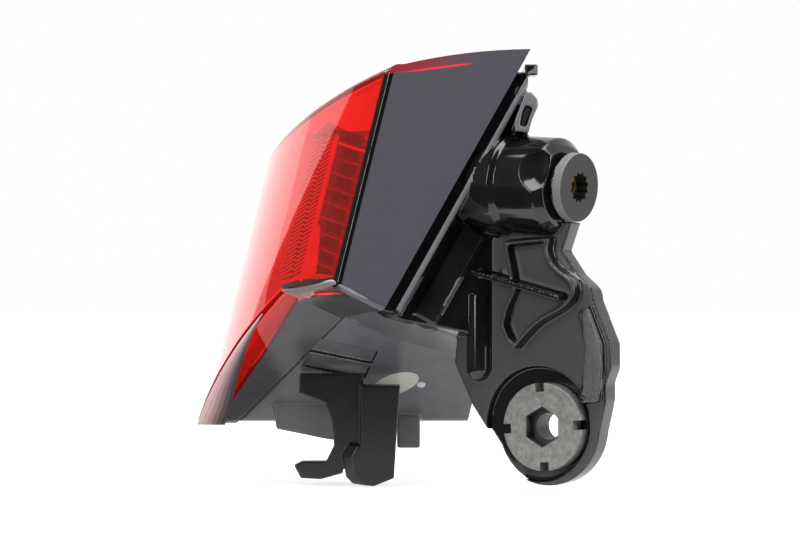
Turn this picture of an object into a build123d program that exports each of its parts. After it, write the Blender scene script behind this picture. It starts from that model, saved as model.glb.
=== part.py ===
from build123d import *
import math
import os

# Left rear lamp cluster, outer half. Millimetres, +Z up.
# +X runs towards the mounting side and +Y away from the inboard wall. Sizes are set out from the
# centre of the lower adjuster's outer face; each piece is saved with the bolt bore's mouth as origin.

# Envelope of the lamp, seen along X
near_wall_height = 121.0
top_fall = 0.44
far_wall = 105.0
far_low = 6.0
keel_y = 78.5
keel_z = -3.8
under_rise = 0.864
far_top_round = 18.0
far_low_round = 12.0
keel_round = 6.0
crown_margin = 4.2
crown_end = -4.3
crown_rise = 5.0
crown_bow = 1.15

# Ledge under the inboard wall
ledge_rear_x = -92.0
ledge_rear_z = 58.6
ledge_rear_y = 19.6
ledge_seam_x = -52.0
ledge_seam_z = 38.3
ledge_seam_y = 41.0
ledge_back_x = -6.0
ledge_back_z = 30.4
ledge_back_y = 58.0
ledge_drop_share = 1.12
ledge_overlap = 1.0
ledge_round = 3.0

# Rear face of the lens, a leaning cylinder
lens_edge_x = -68.0
lens_edge_z = 49.0
lens_lean = 0.247
lens_radius = 130.0
lens_start_angle = 46.5
lens_wall = 2.5
lens_edge_round = 1.6

# Joint between lens and housing, a leaning plane
seam_x = -51.7
seam_z = 40.7
seam_lean = 0.562
seam_sweep = 0.385
seam_gap = 0.6
seal_width = 1.4
seal_recess = 0.9

# Dark parts of the lens
panel_wrap = 1.4
panel_top_strip = 2.8
panel_top_taper = 2.2
panel_top_sag = 0.5
border_width = 1.0
border_thickness = 0.8
skirt_top = 46.0
second_shot_clearance = 0.02

# Edge of the dark underside, in (X, Y)
skirt_edge = [(-63.0, 2.5), (-82.2, 26.6), (-107.1, 68.4), (-112.0, 78.5), (-112.0, 92.0)]

# Housing shell
housing_wall = 2.4
housing_inset = 0.8
back_x = -20.0
back_z = 12.0
back_lean = 0.2
near_recess = 13.0
groove_depth = 4.0
groove_width = 2.7
rail_width = 2.1
rail_bevel = 0.9
rail_bevel_depth = 1.5
crown_back_gap = 2.07
step_start = 9.4
step_width = 8.0
step_rise = 4.0
step_low = 2.0
step_high = 36.0
rail_drop = 2.6

# Tab, clip box, pocket and bar in the inboard recess, with heights below the top of the wall.
# The tab and the clip box are set out across from the top of the joint.
tab_start = 0.87
tab_width = 4.4
tab_drop = 3.7
clip_outline = [
    (1.17, 9.0), (3.17, 9.4), (5.17, 11.6), (5.37, 14.0), (3.37, 18.5), (2.17, 23.0), (-3.93, 22.3),
]
clip_recess = [(1.27, 13.6), (3.47, 14.6), (1.97, 18.6), (1.17, 21.0), (-0.63, 20.4), (0.17, 16.0)]
clip_depth = 5.0
cradle_x = -16.3
cradle_width = 7.6
cradle_drop = 58.0
cradle_height = 3.6
cradle_depth = 1.4
bar_from = (-14.7, 50.3)
bar_to = (-6.3, 58.3)
bar_width = 1.8
bar_rise = 2.4

# Ribs, pockets, lip and foot on the underside
rib_width = 1.2
rib_height = 0.9
under_rib_from = (-64.0, 34.5)
under_rib_to = (-38.3, 43.5)
pocket_from = -79.0
pocket_to = -57.5
pocket_near = 45.0
pocket_far = 57.0
pocket_depth = 1.2
pocket_skew = 2.6
pocket_rib = 1.4
keel_lip = [(-92.8, 4.0), (-91.4, -4.4), (-72.4, -8.3), (-58.0, -8.6), (-58.0, 4.0)]
keel_lip_y = 70.0
keel_lip_depth = 5.0
foot_low = -11.5
foot_from = -48.4
foot_to = -40.1
foot_y = 74.0
foot_depth = 9.0
fusion_depth = 0.4

# Lower fixing lug
lug_yaw = 59.3
lug_radius = 19.8
lug_front = -3.0
lug_thickness = 7.4
lug_rim_rise = 2.6
web_rise = 5.5
dish_depth = 4.0
rib_thickness = 1.8
rib_rise = 9.0
post_radius = 4.4
post_x = -25.5
post_low = 19.0
post_high = 44.0
bowl_radius = 19.2
bowl_x = -3.2
bowl_y = 0.8
arm_round = 4.0
seat_margin = 1.3

# Arm, web, rim and rib of the lug, drawn on the lug's own plane
arm_left = [
    (9.4, 68.3), (-8.0, 68.0), (-22.0, 62.0), (-32.0, 52.0), (-38.0, 40.0),
    (-34.5, 29.7), (-35.2, 20.3), (-28.2, 6.3), (-17.7, -8.0),
]
arm_right = [
    (18.3, -8.0), (22.2, 8.7), (22.2, 14.7), (24.2, 20.0), (24.0, 28.0),
    (18.0, 42.0), (17.2, 46.0), (11.4, 51.0), (5.9, 58.7),
]
web_edge = [
    (3.9, 63.3), (2.9, 58.5), (7.4, 52.3), (12.0, 49.0), (13.2, 46.3),
    (12.5, 43.3), (8.5, 39.3), (0.8, 35.3), (-6.6, 29.0), (-9.6, 25.7),
]
web_back = [(-12.4, 28.7), (-15.1, 34.0), (-13.1, 40.7), (-10.4, 45.3), (-14.0, 62.0)]
dish_edge = [
    (2.2, 61.8), (1.3, 58.4), (6.2, 51.2), (10.6, 47.9), (11.6, 46.2),
    (11.0, 44.0), (7.7, 40.6), (0.0, 36.5), (-7.4, 30.2), (-9.5, 28.0),
]
dish_back = [(-11.2, 29.6), (-13.4, 34.2), (-11.5, 40.2), (-8.7, 45.4), (-12.0, 60.5)]
rim_points = [
    (12.0, 8.0), (20.5, 8.7), (22.2, 20.0), (22.0, 28.0),
    (17.0, 40.0), (13.0, 38.0), (16.0, 27.0), (14.5, 14.0),
]
rib_start = (-24.0, 52.5)
rib_end = (9.0, 44.0)

# Lower adjuster, a slotted ring with a hexagon socket
ring_radius = 14.75
ring_thickness = 5.6
ring_hex_flats = 12.0
ring_hex_depth = 4.6
ring_notch_width = 3.2
ring_notch_depth = 3.0
ring_shank_radius = 9.5
bolt_bore_radius = 4.5
running_clearance = 0.05
seat_clearance = 0.3
ring_edge_round = 0.5
ring_shank_length = 8.0
notch_count = 4
notch_turn = 4.0

# Upper adjuster, a disc with a twelve-point socket and a brass insert
disc_x = 12.3
disc_y = -4.0
disc_z = 79.7
disc_yaw = -36.9
disc_dip = 4.0
disc_radius = 11.5
disc_thickness = 3.4
socket_radius = 5.3
socket_depth = 4.0
socket_turn = 30.0
disc_shank_radius = 7.6
disc_shank_length = 20.0
insert_radius = 4.9
insert_length = 12.0
thread_radius = 2.5
boss_radius = 16.2
boss_gap = 2.2
boss_length = 40.0
boss_base_flare = 1.3
boss_flare_share = 0.6
boss_edge = 2.8
scoop_turn = 160.0
scoop_tilt = 62.0
scoop_radius = 17.0
scoop_depth = 3.4
neck_wall = 1.5
disc_edge_round = 0.5

# Inside of the lamp
bezel_clearance = 0.4
bezel_wall = 1.6
bezel_setback = 3.4
cell_count = 10
cell_rib = 0.9
cell_slope = 0.3
cell_from = 10.8
cell_to = 20.4
guide_from = 23.0
guide_width = 5.0
guide_gap = 0.8
guide_setback = 3.0
guide_thickness = 5.0
guide_head = 23.0
guide_low = 48.0
guide_clearance = 0.3
top_reflector_end = 60.0
board_x = -34.0
board_y = 62.0
board_z = 56.0
board_width = 46.0
board_height = 34.0
board_thickness = 1.6
sink_thickness = 2.0
fin_count = 5
fin_height = 6.0
fin_thickness = 1.4
led_rows = 3
led_columns = 4
led_margin = 11.0
led_size = 3.0
led_height = 0.9
post_inset = 3.5
board_post_radius = 3.4
screw_radius = 1.5
screw_head_radius = 2.7
screw_head_height = 2.0
screw_length = 10.0
screw_fit = 0.05
screw_tip_gap = 1.0
led_border = 1.0
reflector_wall = 1.4
reflector_depth = 15.0
reflector_flare = 4.0

# Connector and vent on the back wall
connector_y = 62.0
connector_z = 60.0
connector_width = 24.0
connector_height = 14.0
connector_length = 16.0
connector_wall = 1.8
connector_flange = 3.0
connector_floor = 3.0
window_clearance = 0.1
pin_count = 5
pin_pitch = 3.6
pin_size = 1.0
pin_length = 12.0
vent_y = 60.0
vent_z = 32.0
vent_radius = 7.0
vent_height = 4.5
vent_spigot_radius = 4.0
vent_spigot_rise = 1.0

# Locating bracket under the lamp
bracket_y = 44.0
bracket_depth = 14.0
leg_chamfer = 3.0
hook_setback = 5.0
hook_depth = 7.0
leg_points = [
    (-61.0, 12.0), (-47.3, 12.0), (-49.4, -20.2), (-56.4, -23.0), (-63.8, -22.3),
    (-66.2, -19.8), (-67.3, -12.1), (-65.2, -8.6), (-61.0, -9.0),
]
hook_points = [
    (-82.4, 16.0), (-60.0, 16.0), (-60.0, -9.0), (-65.2, -9.0), (-66.9, -12.5),
    (-67.3, -18.8), (-75.0, -20.9), (-82.0, -20.5), (-84.4, -16.0), (-81.6, -14.6),
    (-73.2, -14.6), (-70.4, -9.0), (-71.1, -0.2), (-73.2, 5.4), (-82.7, 9.2),
]

# Label and paint mark on the underside
label_length = 18.6
label_height = 10.4
label_turn = 33.0
label_thickness = 0.15
label_x = -49.0
label_y = 61.5
dot_radius = 1.5
dot_x = -39.8
dot_y = 61.8

# Working values: far beyond the lamp, and the little that a cut runs past its end
reach = 400.0
overshoot = 1.0
os.makedirs("parts", exist_ok=True)

lug_angle = math.radians(lug_yaw)
lug_plane = Plane(
    (0, 0, 0),
    x_dir=(math.sin(lug_angle), -math.cos(lug_angle), 0),
    z_dir=(-math.cos(lug_angle), -math.sin(lug_angle), 0),
)
bore_mouth = lug_plane.from_local_coords((0, 0, -ring_hex_depth))


def save(shape, name):
    """Write one piece, moved so that the mouth of the bolt bore is the origin."""
    export_step(Pos(*(-bore_mouth)) * shape, f"parts/{name}.step")


def edge_x(z):
    """Where the rear face of the lens meets the inboard wall."""
    return lens_edge_x + lens_lean * (z - lens_edge_z)


crown_start = edge_x(near_wall_height) + crown_margin
guide_top = near_wall_height - guide_head
joint_top_x = seam_x + seam_lean * (near_wall_height - seam_z)


def envelope_outline(inset):
    """Cross-section of the lamp, seen along X, drawn in (Y, Z)."""
    far_top = near_wall_height + crown_rise - top_fall * far_wall
    under_top = keel_z + under_rise * keel_y
    outline = Polyline(
        (0, under_top), (0, near_wall_height + crown_rise), (far_wall, far_top),
        (far_wall, far_low), (keel_y, keel_z), close=True,
    )
    face = make_face(outline)
    rounds = {
        (far_wall, far_top): far_top_round,
        (far_wall, far_low): far_low_round,
        (keel_y, keel_z): keel_round,
    }
    for corner, radius in rounds.items():
        vertex = face.vertices().sort_by_distance(Vector(*corner, 0))[0]
        face = fillet(vertex, radius)
    return offset(face, -inset, kind=Kind.INTERSECTION) if inset else face


def under_z(y, inset=0.0):
    """Height of the sloping underside at a distance from the inboard wall."""
    return keel_z + under_rise * (keel_y - y) + inset * math.hypot(1, under_rise)


def ledge(inset):
    """The wedge that carries the inboard wall down below the sloping underside."""
    stations = [
        (ledge_rear_x, ledge_rear_z, ledge_rear_y),
        (ledge_seam_x, ledge_seam_z, ledge_seam_y),
        (ledge_back_x, ledge_back_z, ledge_back_y),
    ]
    sections = []
    for x, wall_z, crease_y in stations:
        drop = ledge_drop_share * inset
        points = [
            (x, inset, under_z(0, inset) + ledge_overlap),
            (x, inset, wall_z + drop),
            (x, crease_y, under_z(crease_y, inset)),
            (x, crease_y, under_z(crease_y, inset) + ledge_overlap),
        ]
        sections.append(Face(Wire.make_polygon([Vector(*p) for p in points])))
    return Solid.make_loft([s.outer_wire() for s in sections], ruled=True)


def crown(inset):
    """Everything under the bowed top face, which falls away from the inboard wall."""
    start = (crown_start, near_wall_height - inset)
    end = (crown_end, near_wall_height + crown_rise - inset)
    middle = ((start[0] + end[0]) / 2, (start[1] + end[1]) / 2 + crown_bow)
    profile = (
        Polyline((reach / 4, end[1]), (reach / 4, -reach), (-reach, -reach), (-reach, start[1]), start)
        + ThreePointArc(start, middle, end)
        + Line(end, (reach / 4, end[1]))
    )
    face = Plane.XZ * make_face(profile)
    return extrude(face, reach / 2, dir=(0, 1, -top_fall))


def envelope(inset):
    tube = extrude(Plane.YZ * envelope_outline(inset), reach, both=True)
    whole = tube + ledge(inset)
    return whole & crown(inset)


def lens_cylinder(inset):
    """The leaning cylinder whose skin is the rear face of the lens."""
    angle = math.radians(lens_start_angle)
    centre_x = lens_edge_x + lens_radius * math.cos(angle)
    centre_y = lens_radius * math.sin(angle)
    base_z = lens_edge_z - reach / 4
    circle = Pos(centre_x - lens_lean * reach / 4, centre_y, base_z) * Circle(lens_radius - inset)
    return extrude(circle, reach / 1.5, dir=(lens_lean, 0, 1))


def seam_plane(shift):
    normal = Vector(1, seam_sweep, -seam_lean)
    origin = Vector(seam_x, 0, seam_z) + normal.normalized() * shift
    return Plane(origin, x_dir=(0, 0, 1), z_dir=normal)


def behind_seam(shape, shift):
    return split(shape, bisect_by=seam_plane(shift), keep=Keep.BOTTOM)


def ahead_of_seam(shape, shift):
    return split(shape, bisect_by=seam_plane(shift), keep=Keep.TOP)


def slab(low, high):
    """A block between two corners."""
    size = [b - a for a, b in zip(low, high)]
    middle = [(a + b) / 2 for a, b in zip(low, high)]
    return Pos(*middle) * Box(*size)


def lens_layer(side, near, far):
    """A sheet that follows the rear face, between two depths behind it."""
    return behind_seam((envelope(side) & lens_cylinder(near)) - lens_cylinder(far), -1)


# Red lens with its dark areas moulded in, its lower inboard edge well rounded
wall_edges = envelope(0).edges().filter_by_position(Axis.Y, -ledge_overlap / 2, ledge_overlap / 2)
lower_edges = [e for e in wall_edges if ledge_back_z <= e.center().Z <= ledge_rear_z]
lens_outer = behind_seam(fillet(lower_edges, ledge_round) & lens_cylinder(0), 0)
rear_face = lens_outer.faces().filter_by(GeomType.EXTRUSION).sort_by(SortBy.AREA)[-1]
lens_outer = fillet(rear_face.edges(), lens_edge_round)

lens_shell = lens_outer - (envelope(lens_wall) & lens_cylinder(lens_wall))


def wall_block(outline, depth):
    """A flat shape drawn in (X, Z), made a block that takes in the inboard wall to a depth."""
    return extrude(Pos(0, depth, 0) * (Plane.XZ * make_face(Polyline(*outline, close=True))), 2 * depth)


panel_left = [(edge_x(z) - panel_wrap, z) for z in (0, near_wall_height - panel_top_strip)]
panel_top = near_wall_height + crown_rise - panel_top_taper
panel_middle = (crown_start / 2, panel_top - panel_top_sag)
panel_right = [(joint_top_x, panel_top), (reach, panel_top), (reach, 0)]
panel_block = wall_block([*panel_left, panel_middle, *panel_right], lens_wall)
side_panel = lens_shell & panel_block

skirt_outline = make_face(Polyline(*skirt_edge, (reach, skirt_edge[-1][1]), (reach, lens_wall), close=True))
skirt_block = extrude(Pos(0, 0, -reach / 2) * skirt_outline, reach / 2 + skirt_top)
skirt_block = skirt_block & lens_cylinder(lens_wall)
lens_skirt = lens_shell & skirt_block
red_lens = lens_shell - panel_block - skirt_block

lens_border = lens_layer(
    lens_wall + second_shot_clearance, lens_wall + second_shot_clearance,
    lens_wall + second_shot_clearance + border_thickness,
) - envelope(lens_wall + border_width)

save(red_lens, "red_lens")
save(side_panel, "side_panel")
save(lens_skirt, "lens_skirt")
save(lens_border, "lens_border")

# Weld bead in the joint
bead = envelope(housing_inset + seal_recess) - envelope(housing_inset + seal_recess + seal_width)
save(ahead_of_seam(behind_seam(bead, seam_gap), 0), "lens_seal")

# Parts behind the lens
bezel_side = lens_wall + bezel_clearance
bezel_rear = lens_wall + bezel_setback
guide_end = guide_from + 2 * guide_width + guide_gap
bezel = behind_seam(envelope(bezel_side) & lens_cylinder(bezel_rear), -seam_gap)
bezel -= envelope(bezel_side + bezel_wall) & lens_cylinder(bezel_rear + bezel_wall)
bezel -= slab(
    (-reach, guide_from - guide_clearance, guide_low - guide_clearance),
    (seam_x, guide_end + guide_clearance, guide_top + guide_clearance),
)
cell_pitch = (guide_top - guide_low) / cell_count
cell_lift = cell_slope * (cell_to - cell_from)
for row in range(cell_count):
    low = guide_low + row * cell_pitch
    high = low + cell_pitch - cell_rib
    corners = [(cell_from, low), (cell_to, low + cell_lift), (cell_to, high + cell_lift), (cell_from, high)]
    cell = Plane.YZ.offset(-reach) * make_face(Polyline(*corners, close=True))
    bezel -= extrude(cell, reach + edge_x(low) + bezel_setback)
save(bezel, "inner_bezel")

guide_sheet = lens_layer(
    bezel_side, lens_wall + guide_setback, lens_wall + guide_setback + guide_thickness
)
for index, name in enumerate(("light_guide_near", "light_guide_far")):
    start = guide_from + index * (guide_width + guide_gap)
    save(guide_sheet & slab((-reach, start, guide_low), (0, start + guide_width, guide_top)), name)

top_back = bezel_rear - bezel_clearance
top_sheet = lens_layer(bezel_side, top_back - bezel_wall, top_back)
top_reflector = top_sheet & slab((-reach, 0, guide_top + guide_gap), (0, top_reflector_end, reach))
save(top_reflector, "top_reflector")

# Housing
near_frame = Plane(
    (seam_x, 0, seam_z), x_dir=(1, 0, -seam_lean), z_dir=(0, -1, 0)
)
back_plane = Plane((back_x, 0, back_z), x_dir=(0, 1, 0), z_dir=(1, 0, -back_lean))


def near_block(start, end, low, high, deep, proud):
    """A block on the inboard side, set out across and along the joint line."""
    face = Pos((start + end) / 2, (low + high) / 2, -deep) * Rectangle(end - start, high - low)
    return near_frame * extrude(face, deep - proud)


shell_outer = ahead_of_seam(envelope(housing_inset), seam_gap)
crown_back = Plane((joint_top_x + crown_back_gap, 0, 0), x_dir=(0, 1, 0), z_dir=(1, 0, 0))
shell_outer = split(shell_outer, bisect_by=back_plane, keep=Keep.BOTTOM)
shell_outer = split(shell_outer, bisect_by=crown_back, keep=Keep.BOTTOM)
shell_inner = split(
    envelope(housing_inset + housing_wall), bisect_by=back_plane.offset(-housing_wall), keep=Keep.BOTTOM
)
shell_inner = split(shell_inner, bisect_by=crown_back.offset(-housing_wall), keep=Keep.BOTTOM)
rail_start = seam_gap + groove_width
rail_end = rail_start + rail_width
shell_inner = shell_inner & slab((-reach, near_recess + housing_wall, -reach), (reach, reach, reach))
housing = shell_outer - near_block(rail_end, reach, -reach, reach, near_recess, -reach / 8)
housing -= near_block(-seam_gap, rail_start, -reach, reach, groove_depth, -reach / 8)
rail_edge = make_face(Polyline(
    (rail_end - rail_bevel, -housing_inset), (rail_end, -housing_inset),
    (rail_end, -housing_inset - rail_bevel_depth), close=True,
))
housing -= near_frame * extrude(Plane.XZ * rail_edge, reach, both=True)
housing += near_block(
    step_start, step_start + step_width, step_low, step_high, near_recess, near_recess - step_rise
)


def under_frame(x, y):
    """A frame on the sloping underside, its normal pointing out of the lamp."""
    return Plane((x, y, under_z(y, housing_inset)), x_dir=(1, 0, 0), z_dir=(0, -under_rise, -1))


def under_block(start, end, width, low, high):
    """A straight bar on the underside between two (X, Y) spots, from one height to another."""
    frame = under_frame(*start)
    offset_to = frame.to_local_coords(under_frame(*end).origin)
    length = math.hypot(offset_to.X, offset_to.Y)
    turn = math.degrees(math.atan2(offset_to.Y, offset_to.X))
    bar = Pos(length / 2, 0, (low + high) / 2) * Box(length, width, high - low)
    return frame * (Rot(0, 0, turn) * bar)


def lug_extrude(face, low, high):
    """Raise a flat shape on the lug, between two heights along the adjuster's axis."""
    return lug_plane * extrude(Pos(0, 0, low) * face, high - low)


lug_back = lug_front - lug_thickness
lug_outline = make_face(Polyline(*arm_left, *arm_right, close=True))
for corner in (*arm_left[1:-1], *arm_right[1:-1]):
    lug_outline = fillet(lug_outline.vertices().sort_by_distance(Vector(*corner, 0))[0], arm_round)
lug_outline += Circle(lug_radius)
arm = lug_extrude(lug_outline, lug_back, lug_front)


def half_curved(curve, corners):
    """A flat shape with a smooth curve on one side and straight runs on the other."""
    return make_face(Spline(*curve) + Polyline(curve[-1], *corners, curve[0]))


web_top = lug_front + web_rise
arm += lug_extrude(half_curved(web_edge, web_back), lug_front, web_top)
arm -= lug_extrude(half_curved(dish_edge, dish_back), web_top - dish_depth, web_top + overshoot)
arm += lug_extrude(make_face(Polyline(*rim_points, close=True)), lug_front, lug_front + lug_rim_rise)
rib_below = [(x, y - rib_thickness) for x, y in (rib_end, rib_start)]
rib_outline = make_face(Polyline(rib_start, rib_end, *rib_below, close=True))
arm += lug_extrude(rib_outline, lug_front, lug_front + rib_rise)
post = Pos(post_x, post_low, lug_front) * Rot(-90, 0, 0) * Cylinder(
    post_radius, post_high - post_low, align=(Align.CENTER, Align.CENTER, Align.MIN)
)
arm += lug_plane * (post + Pos(post_x, post_low, lug_front) * Sphere(post_radius))
ring_back = -ring_thickness
shank_end = ring_back - ring_shank_length
seat_face = Circle(ring_radius + seat_margin) + Pos(bowl_x, bowl_y) * Circle(bowl_radius)
arm -= lug_extrude(seat_face, ring_back - seat_clearance, reach / 8)

disc_angle = math.radians(disc_yaw)
dip = math.radians(disc_dip)
level = Vector(math.cos(disc_angle), math.sin(disc_angle), 0)
disc_plane = Plane(
    (disc_x, disc_y, disc_z), x_dir=(-level.Y, level.X, 0),
    z_dir=level * math.cos(dip) - Vector(0, 0, math.sin(dip)),
)
boss_front = -disc_thickness - boss_gap
boss_profile = make_face(Polyline(
    (0, -boss_length), (boss_radius + boss_base_flare, -boss_length),
    (boss_radius + boss_base_flare, -boss_length * boss_flare_share - boss_base_flare),
    (boss_radius, -boss_length * boss_flare_share),
    (boss_radius, boss_front - boss_edge), (boss_radius - boss_edge, boss_front), (0, boss_front), close=True,
))
boss = disc_plane * revolve(Plane.XZ * boss_profile, Axis.Z)
scoop_angle = math.radians(scoop_tilt)
scoop_reach = (scoop_radius - scoop_depth) * math.sin(scoop_angle) + boss_radius
scoop_height = (scoop_radius - scoop_depth) * math.cos(scoop_angle) + boss_front - boss_edge
boss -= disc_plane * (Rot(0, 0, scoop_turn) * Pos(scoop_reach, 0, scoop_height) * Sphere(scoop_radius))
neck = disc_plane * (Pos(0, 0, boss_front) * Cylinder(
    disc_shank_radius + neck_wall, boss_gap - seat_clearance, align=(Align.CENTER, Align.CENTER, Align.MIN)
))


def upright(points, near, depth):
    """A flat shape drawn in (X, Z) and made thick along Y."""
    return extrude(Plane.XZ.offset(-near - depth) * make_face(Polyline(*points, close=True)), depth)


def below_top(points):
    """Turn (across, drop) pairs, taken from the top of the joint and of the wall, into (X, Z)."""
    return [(joint_top_x + across, near_wall_height - drop) for across, drop in points]


wall_top = near_wall_height
tab_x = joint_top_x + tab_start
tab = slab((tab_x, housing_inset, wall_top - tab_drop), (tab_x + tab_width, near_recess, wall_top))
clip_box = upright(below_top(clip_outline), housing_inset, near_recess - housing_inset)
clip_box -= upright(below_top(clip_recess), housing_inset - overshoot, clip_depth)
cradle_low = wall_top - cradle_drop - cradle_height
housing -= slab(
    (cradle_x, 0, cradle_low),
    (cradle_x + cradle_width, near_recess + cradle_depth, cradle_low + cradle_height),
)
bar_across = (bar_width / math.sqrt(2), -bar_width / math.sqrt(2))
bar_points = [bar_from, bar_to] + [(x + bar_across[0], z + bar_across[1]) for x, z in (bar_to, bar_from)]
housing += upright(bar_points, near_recess - bar_rise, bar_rise + fusion_depth)
housing -= slab((crown_start, -overshoot, wall_top - rail_drop), (reach, near_recess, reach))
housing += under_block(under_rib_from, under_rib_to, rib_width, -fusion_depth, rib_height)
pocket_width = (pocket_far - pocket_near) * math.hypot(1, under_rise)
pocket_y = (pocket_near + pocket_far) / 2
pocket_ends = ((pocket_from, pocket_y - pocket_skew), (pocket_to, pocket_y + pocket_skew))
housing -= under_block(*pocket_ends, pocket_width, -pocket_depth, overshoot)
housing += under_block(*pocket_ends, pocket_rib, -pocket_depth - fusion_depth, 0)
housing += upright(keel_lip, keel_lip_y, keel_lip_depth)
housing += slab((foot_from, foot_y, foot_low), (foot_to, foot_y + foot_depth, under_z(foot_y)))
housing += arm
housing += boss
housing += neck
housing += tab
housing += clip_box
housing -= shell_inner
housing -= lug_extrude(Circle(ring_shank_radius + running_clearance), -reach / 8, reach / 8)
shank_hole = Cylinder(
    disc_shank_radius + running_clearance, disc_shank_length + seat_clearance,
    align=(Align.CENTER, Align.CENTER, Align.MAX),
)
housing -= disc_plane * (Pos(0, 0, -disc_thickness) * shank_hole)

# Posts, connector window and vent hole
board_back = board_x + board_thickness + sink_thickness
post_spots = [
    (board_y + sy * (board_width / 2 - post_inset), board_z + sz * (board_height / 2 - post_inset))
    for sy in (-1, 1) for sz in (-1, 1)
]


def along_x(y, z, radius, start, end):
    """A round bar that runs along X."""
    bar = Rot(0, 90, 0) * Cylinder(radius, end - start, align=(Align.CENTER, Align.CENTER, Align.MIN))
    return Pos(start, y, z) * bar


for y, z in post_spots:
    wall_x = back_x + back_lean * (z - back_z) - housing_wall / 2
    housing += along_x(y, z, board_post_radius, board_back, wall_x)
    housing -= along_x(y, z, screw_radius + screw_fit, board_back - overshoot, board_back + screw_length)


def on_back(y, z):
    """A frame on the outside of the back wall."""
    origin = (back_x + back_lean * (z - back_z), y, z)
    return Plane(origin, x_dir=(0, 1, 0), z_dir=(1, 0, -back_lean))


connector_frame = on_back(connector_y, connector_z)
connector_face = Rectangle(connector_width, connector_height)
window = offset(connector_face, window_clearance)
housing -= connector_frame * extrude(window, housing_wall * 2, both=True)
vent_frame = on_back(vent_y, vent_z)
housing -= vent_frame * extrude(Circle(vent_spigot_radius + window_clearance), housing_wall * 2, both=True)
save(housing, "housing")

connector = extrude(Pos(0, 0, -connector_floor) * connector_face, connector_length + connector_floor)
connector += extrude(offset(connector_face, connector_flange, kind=Kind.INTERSECTION), connector_wall)
connector -= extrude(offset(connector_face, -connector_wall), connector_length)
pin_holes = Part()
pins = Part()
for index in range(pin_count):
    across = (index - (pin_count - 1) / 2) * pin_pitch
    pin_holes += Pos(across, 0, 0) * Box(pin_size, pin_size, 4 * connector_floor)
    pins += Pos(across, 0, -connector_floor) * Box(
        pin_size, pin_size, pin_length, align=(Align.CENTER, Align.CENTER, Align.MIN)
    )
save(connector_frame * (connector - pin_holes), "connector_socket")
save(connector_frame * pins, "connector_pins")

vent = extrude(Circle(vent_radius), vent_height)
vent += extrude(Circle(vent_spigot_radius), -housing_wall - vent_spigot_rise)
save(vent_frame * vent, "vent_cap")

# Light source
board_low = (board_x, board_y - board_width / 2, board_z - board_height / 2)
board_high = (board_x + board_thickness, board_y + board_width / 2, board_z + board_height / 2)
board = slab(board_low, board_high)
sink = slab((board_high[0], *board_low[1:]), (board_back, *board_high[1:]))
fin_span = board_height - 4 * post_inset - 2 * board_post_radius
for index in range(fin_count):
    y = board_y + (index - (fin_count - 1) / 2) * (board_width - 6 * post_inset) / (fin_count - 1)
    sink += slab(
        (board_back, y - fin_thickness / 2, board_z - fin_span / 2),
        (board_back + fin_height, y + fin_thickness / 2, board_z + fin_span / 2),
    )
screws = Part()
for y, z in post_spots:
    hole = along_x(y, z, screw_radius + seat_clearance, board_x - overshoot, board_back + overshoot)
    board -= hole
    sink -= hole
    screws += along_x(y, z, screw_radius, board_x, board_back + screw_length - screw_tip_gap)
    screws += along_x(y, z, screw_head_radius, board_x - screw_head_height, board_x)
led_pitch = (board_width - 2 * led_margin) / (led_columns - 1)
leds = Part()
for row in range(led_rows):
    for column in range(led_columns):
        y = board_y + (column - (led_columns - 1) / 2) * led_pitch
        z = board_z + (row - (led_rows - 1) / 2) * led_pitch
        leds += Pos(board_x - led_height / 2, y, z) * Box(led_height, led_size, led_size)
save(board, "led_board")
save(sink, "heat_sink")
save(screws, "board_screws")
save(leds, "leds")

cup_half = (
    (led_columns - 1) / 2 * led_pitch + led_size / 2 + led_border,
    (led_rows - 1) / 2 * led_pitch + led_size / 2 + led_border,
)


def cup(grow, depth):
    """A flaring block in front of the board, for the reflector."""
    frame = Plane((board_x, board_y, board_z), x_dir=(0, 1, 0), z_dir=(-1, 0, 0))
    flare = reflector_flare * depth / reflector_depth
    base = frame * Rectangle(2 * (cup_half[0] + grow), 2 * (cup_half[1] + grow))
    rim = frame.offset(depth) * Rectangle(2 * (cup_half[0] + grow + flare), 2 * (cup_half[1] + grow + flare))
    return loft([base, rim])


save(cup(reflector_wall, reflector_depth) - cup(0, reflector_depth), "reflector")

# Lower adjuster
ring = lug_extrude(Circle(ring_radius), ring_back, 0)
ring = fillet(ring.edges().group_by(SortBy.LENGTH)[-1], ring_edge_round)
notch = Pos(ring_radius, 0, 0) * Rectangle(2 * ring_notch_depth, ring_notch_width)
for turn in range(notch_count):
    turned = Rot(0, 0, 360 / notch_count * turn + notch_turn) * notch
    ring -= lug_extrude(turned, ring_back - overshoot, overshoot)
ring += lug_extrude(Circle(ring_shank_radius), shank_end, ring_back)
hexagon = RegularPolygon(ring_hex_flats / 2, 6, major_radius=False, rotation=30)
ring -= lug_extrude(hexagon, -ring_hex_depth, overshoot)
ring -= lug_extrude(Circle(bolt_bore_radius), shank_end - overshoot, overshoot)
save(ring, "lower_adjuster")

# Upper adjuster
disc = extrude(Circle(disc_radius), -disc_thickness)
disc = fillet(disc.edges().group_by(SortBy.LENGTH)[-1], disc_edge_round)
disc += extrude(Pos(0, 0, -disc_thickness) * Circle(disc_shank_radius), -disc_shank_length)
socket_square = Rectangle(socket_radius * math.sqrt(2), socket_radius * math.sqrt(2))
socket = socket_square + Rot(0, 0, socket_turn) * socket_square + Rot(0, 0, 2 * socket_turn) * socket_square
disc -= extrude(socket, -socket_depth)
disc -= extrude(Pos(0, 0, -socket_depth) * Circle(insert_radius), -insert_length)
disc -= extrude(Circle(thread_radius + seat_clearance), -disc_thickness - disc_shank_length)
insert = extrude(Pos(0, 0, -socket_depth) * (Circle(insert_radius) - Circle(thread_radius)), -insert_length)
save(disc_plane * disc, "upper_adjuster")
save(disc_plane * insert, "brass_insert")

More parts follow.
